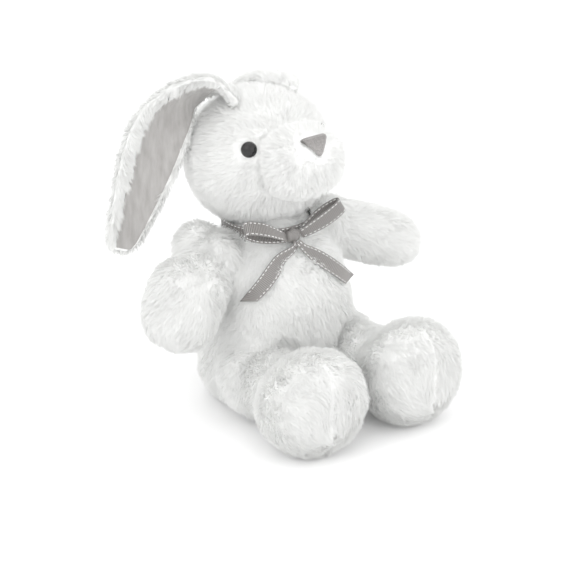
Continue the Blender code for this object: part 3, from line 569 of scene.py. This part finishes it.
def dress_head():
    cover = stuffed("head_cover", ("head_skin", "head_stuffing", "muzzle_skin"), [(HEAD, 30 * MM)])
    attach(cover, "head")
    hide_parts("head_skin", "head_stuffing", "muzzle_skin")
    head_tree, muzzle_tree = tree_of("head_skin"), tree_of("muzzle_skin")
    places = points_of(cover.data)
    front = np.flatnonzero(places[:, 1] < -12 * MM)
    gap = np.maximum(distances(head_tree, places[front]), distances(muzzle_tree, places[front]))
    draw = np.zeros((len(places), 1))
    normals = np.array([v.normal[:] for v in cover.data.vertices])
    under = np.clip(-2 * normals[front, 2] + 0.4, 0, 1)
    draw[front, 0] = SEAM_DEPTH * (1 + 0.4 * under) * np.exp(-(gap / (2.2 * MM)) ** 2)
    set_points(cover.data, places - normals * draw)
    eyes = [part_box(f"eye_{s}") for s in SIDES]
    eyes = [np.array([(a + b) / 2 for a, b in zip(low, high)]) for low, high in eyes]
    nose = np.array(NOSE)

    def share(places, normals):
        near_eye = np.min([np.linalg.norm(places - e, axis=1) for e in eyes], axis=0)
        eye_part = 0.50 + 0.50 * np.clip((near_eye - 7 * MM) / (4 * MM), 0, 1)
        near_nose = np.linalg.norm(places - nose, axis=1)
        nose_part = 0.40 + 0.60 * np.clip((near_nose - 9 * MM) / (12 * MM), 0, 1)
        front = places[:, 1] < -12 * MM
        join = np.full(len(places), 1.0)
        at = np.flatnonzero(front)
        gap = np.maximum(distances(head_tree, places[at]), distances(muzzle_tree, places[at]))
        least = 0.35 - 0.2 * np.clip(-2 * normals[at, 2], 0, 1)
        join[at] = least + (1 - least) * np.clip((gap - 1.0 * MM) / (3.5 * MM), 0, 1)
        beard = 1 + 0.6 * np.clip((150 * MM - places[:, 2]) / (12 * MM), 0, 1)
        return eye_part * nose_part * join * beard

    comb = mixed((away_from(NOSE), 1.0), (steady(0, 0.3, -0.6), 0.35))
    grow_pile("head_pile", cover, "head", 2.6, comb, length=share, seed=20)


def dress_limb(name, root, way, body, per_mm, seed):
    balls = [(root, 10 * MM)] + ([(SHOULDER_TOP, 17 * MM)] if name == "arm_right" else [])
    cover = stuffed(f"{name}_cover", (f"{name}_skin", f"{name}_stuffing"), balls, voxel=3.2 * MM)
    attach(cover, body)
    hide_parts(f"{name}_skin", f"{name}_stuffing")
    comb = mixed((steady(*way), 1.0), (steady(0, 0, -1.0), 0.35), (away_from(root + way * 0.04), 0.4))
    hidden = lambda places, normals: np.where((places[:, 2] < 3 * MM) & (normals[:, 2] < -0.5), 0.1, 1.0)

    def share(places, normals):
        """Shorter along the seam that runs down the front of a foot."""
        if not name.startswith("leg"):
            return np.ones(len(places))
        beside = np.cross(np.array(way), (0, 0, 1.0))
        apart = np.abs((places - np.array(root)) @ beside + 1.0 * MM)
        front = (normals @ np.array(way)) > 0.35
        return np.where(front, 0.45 + 0.55 * np.clip((apart - 0.6 * MM) / (2.6 * MM), 0, 1), 1.0)

    grow_pile(f"{name}_pile", cover, body, per_mm, comb, length=share, weight=hidden, seed=seed)


def dress_tail():
    cover = stuffed("tail_cover", ("tail_skin", "tail_stuffing"), (),
                    voxel=2.6 * MM, shrink=0.6 * MM, cap=1.2 * MM)
    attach(cover, "tail")
    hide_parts("tail_skin", "tail_stuffing")
    comb = mixed((away_from((0, 0.040, 0.027)), 1.0), (steady(0, 0.4, -0.8), 0.6))
    grow_pile("tail_pile", cover, "tail", 2.6, comb, seed=30)


# ---------------------------------------------------------------- ears
EAR_LINES = {  # centre, width direction, lining direction, half width, in mm
    "right": (
        ((-18.6, 19.1, 205.8), (-0.51, -0.85, -0.13), (-0.37, 0.36, -0.86), 13.0),
        ((-23.3, 21.0, 208.6), (-0.38, -0.92, 0.10), (-0.44, 0.08, -0.90), 10.5),
        ((-30.0, 23.6, 211.7), (-0.18, -0.85, 0.49), (-0.39, -0.40, -0.83), 15.8),
        ((-37.3, 25.9, 212.8), (-0.18, -0.68, 0.71), (-0.23, -0.68, -0.70), 19.3),
        ((-45.3, 28.2, 212.2), (-0.40, -0.53, 0.75), (-0.02, -0.81, -0.59), 19.8),
        ((-53.0, 30.2, 207.5), (-0.67, -0.27, 0.69), (0.04, -0.94, -0.33), 20.6),
        ((-60.6, 32.1, 199.0), (-0.80, 0.04, 0.59), (-0.12, -0.99, -0.09), 21.4),
        ((-67.2, 33.7, 188.0), (-0.87, 0.21, 0.45), (-0.24, -0.97, 0.01), 21.4),
        ((-72.5, 34.9, 174.5), (-0.90, 0.27, 0.35), (-0.28, -0.96, 0.01), 20.8),
        ((-78.0, 36.6, 158.1), (-0.90, 0.29, 0.32), (-0.31, -0.95, -0.02), 18.8),
        ((-85.0, 39.6, 135.5), (-0.90, 0.29, 0.31), (-0.31, -0.95, -0.03), 14.4),
        ((-90.3, 42.1, 117.7), (-0.91, 0.29, 0.31), (-0.31, -0.95, -0.04), 10.8),
        ((-92.9, 43.3, 109.0), (-0.91, 0.29, 0.31), (-0.31, -0.95, -0.04), 3.4),
    ),
    "left": (
        ((18.6, 19.1, 205.8), (-0.51, 0.85, 0.13), (-0.11, 0.09, -0.99), 13.0),
        ((20.1, 23.1, 205.9), (-0.69, 0.67, 0.27), (-0.29, 0.09, -0.95), 10.5),
        ((22.2, 29.1, 205.6), (-0.88, 0.42, 0.22), (-0.28, -0.08, -0.96), 15.8),
        ((24.1, 36.3, 203.7), (-0.96, 0.28, 0.09), (-0.17, -0.27, -0.95), 19.3),
        ((26.1, 44.7, 200.4), (-0.97, 0.26, 0.0), (-0.11, -0.40, -0.91), 19.8),
        ((28.8, 53.9, 195.5), (-0.96, 0.26, -0.05), (-0.09, -0.50, -0.86), 20.6),
        ((31.9, 63.8, 188.9), (-0.97, 0.25, -0.06), (-0.12, -0.64, -0.76), 21.4),
        ((34.4, 71.4, 179.8), (-0.97, 0.24, -0.06), (-0.17, -0.82, -0.55), 21.4),
        ((36.3, 76.6, 168.4), (-0.97, 0.22, -0.06), (-0.19, -0.93, -0.32), 20.8),
        ((37.9, 79.9, 153.2), (-0.98, 0.22, -0.04), (-0.21, -0.97, -0.13), 18.8),
        ((39.1, 81.2, 130.3), (-0.98, 0.21, -0.04), (-0.21, -0.98, -0.05), 14.4),
        ((39.9, 81.6, 112.0), (-0.98, 0.20, -0.04), (-0.20, -0.98, -0.03), 10.8),
        ((40.3, 81.7, 102.9), (-0.98, 0.20, -0.04), (-0.20, -0.98, -0.03), 3.4),
    ),
}


def dress_ear(side, seed):
    name = f"ear_{side}"
    lines = [(np.array(c) * MM, unit(np.array(a)), unit(np.array(f)), h * MM)
             for c, a, f, h in EAR_LINES[side]]
    centres = np.array([c for c, _, _, _ in lines])
    across = np.array([a for _, a, _, _ in lines])
    facing = np.array([f for _, _, f, _ in lines])
    along = unit(np.gradient(centres, axis=0))

    back = copied(f"{name}_back", (f"{name}_outer",))
    apply_modifier(back, "SUBSURF", levels=1, render_levels=1)
    pick(back)
    bpy.ops.object.shade_smooth()
    back.data.materials.append(FINISH["backing"])
    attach(back, name)
    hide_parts(f"{name}_outer")

    lining_tree = tree_of(f"{name}_lining")

    def station(places):
        """Nearest stretch of the ear for each place."""
        gaps = ((places[:, None, :] - centres[None]) ** 2).sum(2)
        return gaps.argmin(1)

    def off_lining(places, normals):
        at = station(places)
        front = (normals * facing[at]).sum(1) > 0.3
        close = distances(lining_tree, places) < 1.4 * MM
        return np.where(front & close & (at > 1), 0.0, 1.0)

    def comb(places, normals):
        at = station(places)
        out = ((places - centres[at]) * across[at]).sum(1, keepdims=True) / (20 * MM)
        front = (normals * facing[at]).sum(1, keepdims=True) > 0.25
        return along[at] + across[at] * out * np.where(front, -0.9, 0.8) - facing[at] * 0.1

    def share(places, normals):
        root_share = 0.65 if side == "right" else 0.95
        return root_share + (1 - root_share) * np.clip((station(places) - 1) / 4.0, 0, 1)

    grow_pile(f"{name}_pile", back, name, 3.4, comb, length=share, weight=off_lining, seed=seed)

    lining = copied(f"{name}_velour", (f"{name}_lining",))
    apply_modifier(lining, "SUBSURF", levels=2, render_levels=2)
    pick(lining)
    bpy.ops.object.shade_smooth()
    lining.data.materials.append(FINISH["lining"])
    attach(lining, name)
    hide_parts(f"{name}_lining")


# ---------------------------------------------------------------- face
def dress_face():
    for side in SIDES:
        low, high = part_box(f"eye_{side}")
        sign = 1 if side == "left" else -1
        facing = Vector((0.55 * sign, -0.80, 0.26)).normalized()
        centre = Vector([(a + b) / 2 for a, b in zip(low, high)]) - facing * EYE_SINK[side]
        bpy.ops.mesh.primitive_uv_sphere_add(segments=32, ring_count=20, radius=5.35 * MM)
        bead = name_it(bpy.context.active_object, f"eye_bead_{side}")
        bead.scale = (1, 1, 0.78)
        bead.rotation_mode = "QUATERNION"
        bead.rotation_quaternion = facing.to_track_quat("Z", "Y")
        bead.location = centre
        apply_place(bead)
        bpy.ops.object.shade_smooth()
        bead.data.materials.append(FINISH["bead"])
        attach(bead, "head")
        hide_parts(f"eye_{side}")

    pad = copied("nose_triangle", ("nose_pad",))
    apply_modifier(pad, "SUBSURF", levels=1, render_levels=1)
    pick(pad)
    bpy.ops.object.shade_smooth()
    pad.data.materials.append(FINISH["nose"])
    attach(pad, "head")
    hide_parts("nose_pad")

    surface = BVHTree.FromObject(pad, bpy.context.evaluated_depsgraph_get())
    facing, upward = Vector((0, -0.82, 0.57)), Vector((0, 0.57, 0.82))
    middle = Vector((0, -43.5, 186.5)) * MM
    lines = []
    for number in range(25):
        start = (number / 12 - 1) * 9.0
        lines.append([(start * (1 - t) + start * 0.10 * t + 1.2 * math.sin(math.pi * t) * (number / 12 - 1),
                       4.6 - 12.6 * t) for t in np.linspace(0, 1, 10)])
    for row in range(3):
        lines.append([(x, 5.2 - row * 0.55) for x in np.linspace(-9.6 + row * 0.3, 9.6 - row * 0.3, 14)])
    sew(lines, surface, middle, Vector((1, 0, 0)), upward, facing)


def sew(lines, surface, middle, across, upward, facing):
    """Satin stitches laid over a surface along lines given in mm across and up."""
    made = []
    for line in lines:
        places = []
        for x, y in line:
            start = middle + (across * x + upward * y) * MM + facing * 6 * MM
            hit = surface.ray_cast(start, -facing, 12 * MM)[0]
            if hit is not None:
                places.append(hit + facing * 0.08 * MM)
        if len(places) < 3:
            continue
        curve = bpy.data.curves.new("stitch", "CURVE")
        curve.dimensions, curve.bevel_depth, curve.bevel_resolution = "3D", 0.30 * MM, 1
        curve.use_fill_caps = True
        spline = curve.splines.new("POLY")
        spline.points.add(len(places) - 1)
        for point, place in zip(spline.points, places):
            point.co = (*place, 1.0)
        thread = bpy.data.objects.new("stitch", curve)
        bpy.context.collection.objects.link(thread)
        made.append(thread)
    pick(*made)
    bpy.ops.object.convert(target="MESH")
    bpy.ops.object.join()
    whole = name_it(bpy.context.active_object, "nose_stitches")
    bpy.ops.object.shade_smooth()
    whole.data.materials.clear()
    whole.data.materials.append(FINISH["satin"])
    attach(whole, "head")


# ---------------------------------------------------------------- ribbon

def smooth_line(rows, count):
    """Points at even steps along a smooth line through the rows."""
    rows = np.array(rows, float)
    padded = np.vstack([2 * rows[0] - rows[1], rows, 2 * rows[-1] - rows[-2]])
    fine = []
    for i in range(len(rows) - 1):
        a, b, c, d = padded[i:i + 4]
        for t in np.linspace(0, 1, 24, endpoint=False):
            fine.append(0.5 * (2 * b + (c - a) * t + (2 * a - 5 * b + 4 * c - d) * t * t
                               + (3 * b - a - 3 * c + d) * t ** 3))
    fine.append(rows[-1])
    fine = np.array(fine)
    far = np.concatenate([[0], np.cumsum(np.linalg.norm(np.diff(fine[:, :3], axis=0), axis=1))])
    steps = np.linspace(0, far[-1], count)
    return np.stack([np.interp(steps, far, fine[:, k]) for k in range(fine.shape[1])], 1), far[-1]


def ribbon(name, rows, body, node, closed=False, slant=0.0, columns=8):
    """A ribbed ribbon along rows of (x, y, z, width way, width), all in mm."""
    _, long = smooth_line(rows, 3)
    long *= MM
    ribs = max(4, round(long / RIB))
    count = ribs * 3 + 1
    line, _ = smooth_line(rows, count)
    path, wide, width = line[:, :3] * MM, unit(line[:, 3:6]), line[:, 6] * MM
    if closed:
        ways = unit(np.roll(path[:-1], -1, axis=0) - np.roll(path[:-1], 1, axis=0))
        ways = np.vstack([ways, ways[:1]])
    else:
        ways = unit(np.gradient(path, axis=0))
    wide = unit(wide - ways * (wide * ways).sum(1, keepdims=True))
    face = np.cross(ways, wide)

    bpy.ops.mesh.primitive_grid_add(x_subdivisions=columns, y_subdivisions=count - 1, size=2.0)
    strip = name_it(bpy.context.active_object, name)
    flat = points_of(strip.data)
    u, v = flat[:, 0], (flat[:, 1] + 1) / 2
    at = np.clip(np.rint(v * (count - 1)).astype(int), 0, count - 1)
    shift = u * slant * width[at]
    swell = 0.13 * MM * np.cos(2 * math.pi * at / 3) * (np.abs(u) < 0.9)
    edge = 0.10 * MM * (np.abs(u) > 0.9)
    places = path[at] + wide[at] * (u * width[at] / 2)[:, None] + face[at] * (swell + edge)[:, None]
    if slant:
        late = np.clip((at - (count - 1 - CUT_STEPS)) / CUT_STEPS, 0, 1)
        places = places + ways[at] * (shift * late)[:, None]
    set_points(strip.data, places)
    own = strip.data.uv_layers.active or strip.data.uv_layers.new(name="cloth")
    own.name = "cloth"
    index = np.empty(len(strip.data.loops), np.int32)
    strip.data.loops.foreach_get("vertex_index", index)
    where = np.stack([u * 5.0, v * long / MM], 1)[index]
    own.uv.foreach_set("vector", where.astype(np.float32).ravel())
    apply_modifier(strip, "SOLIDIFY", thickness=RIBBON_THICK, offset=0.0)
    if closed:
        bpy.ops.object.mode_set(mode="EDIT")
        bpy.ops.mesh.select_all(action="SELECT")
        bpy.ops.mesh.remove_doubles(threshold=0.05 * MM)
        bpy.ops.object.mode_set(mode="OBJECT")
    bpy.ops.object.shade_smooth()
    strip.data.materials.append(FINISH["ribbon"])
    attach(strip, body)
    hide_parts(node)
    stitches(f"{name}_stitches", path, wide, face, ways, width, body)
    return strip, long


def stitches(name, path, wide, face, ways, width, body):
    """White dashes along both edges of a ribbon, on both faces."""
    bpy.ops.mesh.primitive_cylinder_add(vertices=6, radius=0.26 * MM, depth=DASH_LENGTH)
    dash = bpy.context.active_object
    bpy.ops.object.mode_set(mode="EDIT")
    bpy.ops.mesh.select_all(action="SELECT")
    bpy.ops.mesh.bevel(offset=0.12 * MM, segments=1)
    bpy.ops.object.mode_set(mode="OBJECT")
    shape = points_of(dash.data)
    faces = [tuple(p.vertices) for p in dash.data.polygons]
    bpy.data.objects.remove(dash)
    far = np.concatenate([[0], np.cumsum(np.linalg.norm(np.diff(path, axis=0), axis=1))])
    places, sides = [], []
    for number in range(int((far[-1] - DASH_LENGTH) / DASH_STEP)):
        at = int(np.searchsorted(far, (number + 0.5) * DASH_STEP + 0.4 * MM))
        for edge in (-1, 1):
            for top in (-1, 1):
                middle = path[at] + wide[at] * edge * (width[at] / 2 - DASH_INSET)
                middle = middle + face[at] * top * 0.30 * MM
                offset = len(places) * len(shape)
                places.append(middle + shape[:, :1] * wide[at] + shape[:, 1:2] * face[at]
                              + shape[:, 2:] * ways[at])
                turn = np.dot(np.cross(wide[at], face[at]), ways[at]) < 0
                for f in faces:
                    ring = tuple(i + offset for i in f)
                    sides.append(ring[::-1] if turn else ring)
    mesh = bpy.data.meshes.new(name)
    mesh.from_pydata(np.vstack(places).tolist(), [], sides)
    mesh.materials.append(FINISH["stitch"])
    thing = bpy.data.objects.new(name, mesh)
    bpy.context.collection.objects.link(thing)
    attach(thing, body)
    return thing


def tie_ribbon():
    turns = [(29.35 * math.cos(a), 8 + 29.35 * math.sin(a), 119.0, 0, 0, 1, 10.0)
             for a in np.linspace(-math.pi / 2, 1.5 * math.pi, 49)]
    band, long = ribbon("neck_ribbon", turns, "torso", "ribbon_band", closed=True)
    loops = {
        "left": ((2.4, -24.9, 119.0, 6.2), (9.1, -24.4, 122.6, 8.2), (19.7, -25.3, 128.5, 10.0),
                 (28.5, -28.6, 133.7, 10.0), (30.6, -32.3, 135.3, 10.0), (27.1, -34.5, 133.7, 10.0),
                 (17.7, -33.4, 128.5, 10.0), (7.9, -29.4, 122.6, 8.2), (2.2, -25.9, 119.0, 6.2)),
        "right": ((-10.4, -25.0, 118.6, 6.2), (-17.1, -22.5, 119.6, 8.2), (-27.7, -19.6, 122.4, 10.0),
                  (-36.8, -18.7, 126.8, 10.0), (-39.2, -20.3, 130.1, 10.0), (-35.9, -22.8, 131.1, 10.0),
                  (-26.4, -25.3, 128.4, 10.0), (-16.3, -26.0, 123.3, 8.2), (-10.2, -25.7, 119.4, 6.2)),
    }
    up = {"left": (0.47, -0.12, -0.87), "right": (0.36, 0.72, 0.60)}
    for side in SIDES:
        rows = [(x, y, z, *up[side], w) for x, y, z, w in loops[side]]
        strip, long = ribbon(f"bow_loop_{side}", rows, "torso", f"ribbon_loop_{side}")
    tails = {
        "left": ((-3.6, -30.0, 116.4, 0.65, -0.01, 0.76, 3.6),
                 (-0.9, -33.1, 112.6, 0.65, -0.01, 0.76, 5.0), (5.4, -34.4, 107.2, 0.68, 0.10, 0.73, 8.3),
                 (11.6, -38.9, 101.8, 0.72, 0.21, 0.66, 10.0), (17.9, -42.2, 96.3, 0.67, 0.30, 0.68, 10.0),
                 (24.0, -42.6, 91.0, 0.58, 0.36, 0.73, 10.0), (31.0, -40.9, 85.0, 0.51, 0.44, 0.74, 10.0)),
        "right": ((-4.6, -29.0, 116.4, 0.40, -0.08, -0.91, 3.6),
                  (-7.1, -30.2, 112.6, 0.40, -0.08, -0.91, 5.0),
                  (-18.0, -30.1, 107.6, 0.51, -0.28, -0.81, 8.3),
                  (-24.9, -31.9, 102.5, 0.61, -0.47, -0.63, 10.0),
                  (-31.0, -32.9, 97.5, 0.40, -0.70, -0.59, 10.0),
                  (-36.3, -31.8, 92.0, 0.10, -0.82, -0.56, 10.0),
                  (-42.6, -28.4, 84.0, -0.10, -0.88, -0.46, 10.0)),
    }
    for side in SIDES:
        strip, long = ribbon(f"bow_tail_{side}", tails[side], f"ribbon_tail_{side}", f"ribbon_tail_{side}",
                             slant=0.45 if side == "left" else -0.45)

    knot = copied("bow_knot", ("ribbon_knot",))
    apply_modifier(knot, "SUBSURF", levels=2, render_levels=2)
    pick(knot)
    bpy.ops.object.shade_smooth()
    places = points_of(knot.data)
    low, high = places.min(axis=0), places.max(axis=0)
    middle = (low + high) / 2
    about = np.arctan2(places[:, 2] - middle[2], -(places[:, 1] - middle[1]))
    across = (places[:, 0] - middle[0]) / ((high[0] - low[0]) / 2)
    fold = 0.45 * MM * np.cos(across * math.pi * 2.6 + 0.5 * np.sin(about * 2))
    flat = places - middle
    flat[:, 0] = 0
    set_points(knot.data, places + unit(flat) * (fold - 0.2 * MM)[:, None])
    index = np.empty(len(knot.data.loops), np.int32)
    knot.data.loops.foreach_get("vertex_index", index)
    own = knot.data.uv_layers.new(name="cloth")
    own.uv.foreach_set("vector", np.stack([across * 5.0, about * 5.0], 1)[index].astype(np.float32).ravel())
    knot.data.materials.append(FINISH["ribbon"])
    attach(knot, "torso")
    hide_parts("ribbon_knot")


# ---------------------------------------------------------------- hidden parts
def finish_hidden():
    wear = {
        "neck_stuffing": FINISH["filling"], "neck_seam_thread": FINISH["stitch"],
        "back_seam_thread": FINISH["stitch"], "pellet_bag": FINISH["bag"],
        "eye_washer_left": FINISH["washer"], "eye_washer_right": FINISH["washer"],
    }
    for node, finish in wear.items():
        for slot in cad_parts[node].material_slots:
            slot.material = finish


FINISH = {
    "pile": pile_finish(), "backing": backing_finish(),
    "lining": lining_finish(), "ribbon": ribbon_finish(),
    "stitch": thread_finish("white_thread", (0.86, 0.86, 0.84), (0.97, 0.97, 0.95)),
    "nose": thread_finish("nose_backing", (0.03, 0.028, 0.026), (0.07, 0.065, 0.06), 0.7),
    "satin": thread_finish("nose_thread", (0.10, 0.093, 0.088), (0.26, 0.245, 0.235), 0.32),
    "bead": bead_finish(),
    "washer": moulded_finish("washer_white", (0.74, 0.74, 0.72), (0.82, 0.82, 0.80), 0.5),
    "bag": moulded_finish("pellet_canvas", (0.70, 0.68, 0.62), (0.84, 0.82, 0.76), 0.9),
    "filling": moulded_finish("polyester_wadding", (0.84, 0.84, 0.82), (0.93, 0.93, 0.91), 1.0),
}

studio()
dress_torso()
dress_head()
for number, side in enumerate(SIDES):
    dress_limb(f"arm_{side}", SHOULDERS[side], ARM_WAYS[side], f"arm_{side}", 2.4, 40 + number)
    dress_limb(f"leg_{side}", HIPS[side], LEG_WAYS[side], f"leg_{side}", 2.4, 60 + number)
    dress_ear(side, 80 + number)
dress_tail()
dress_face()
tie_ribbon()
finish_hidden()

bpy.context.view_layer.update()
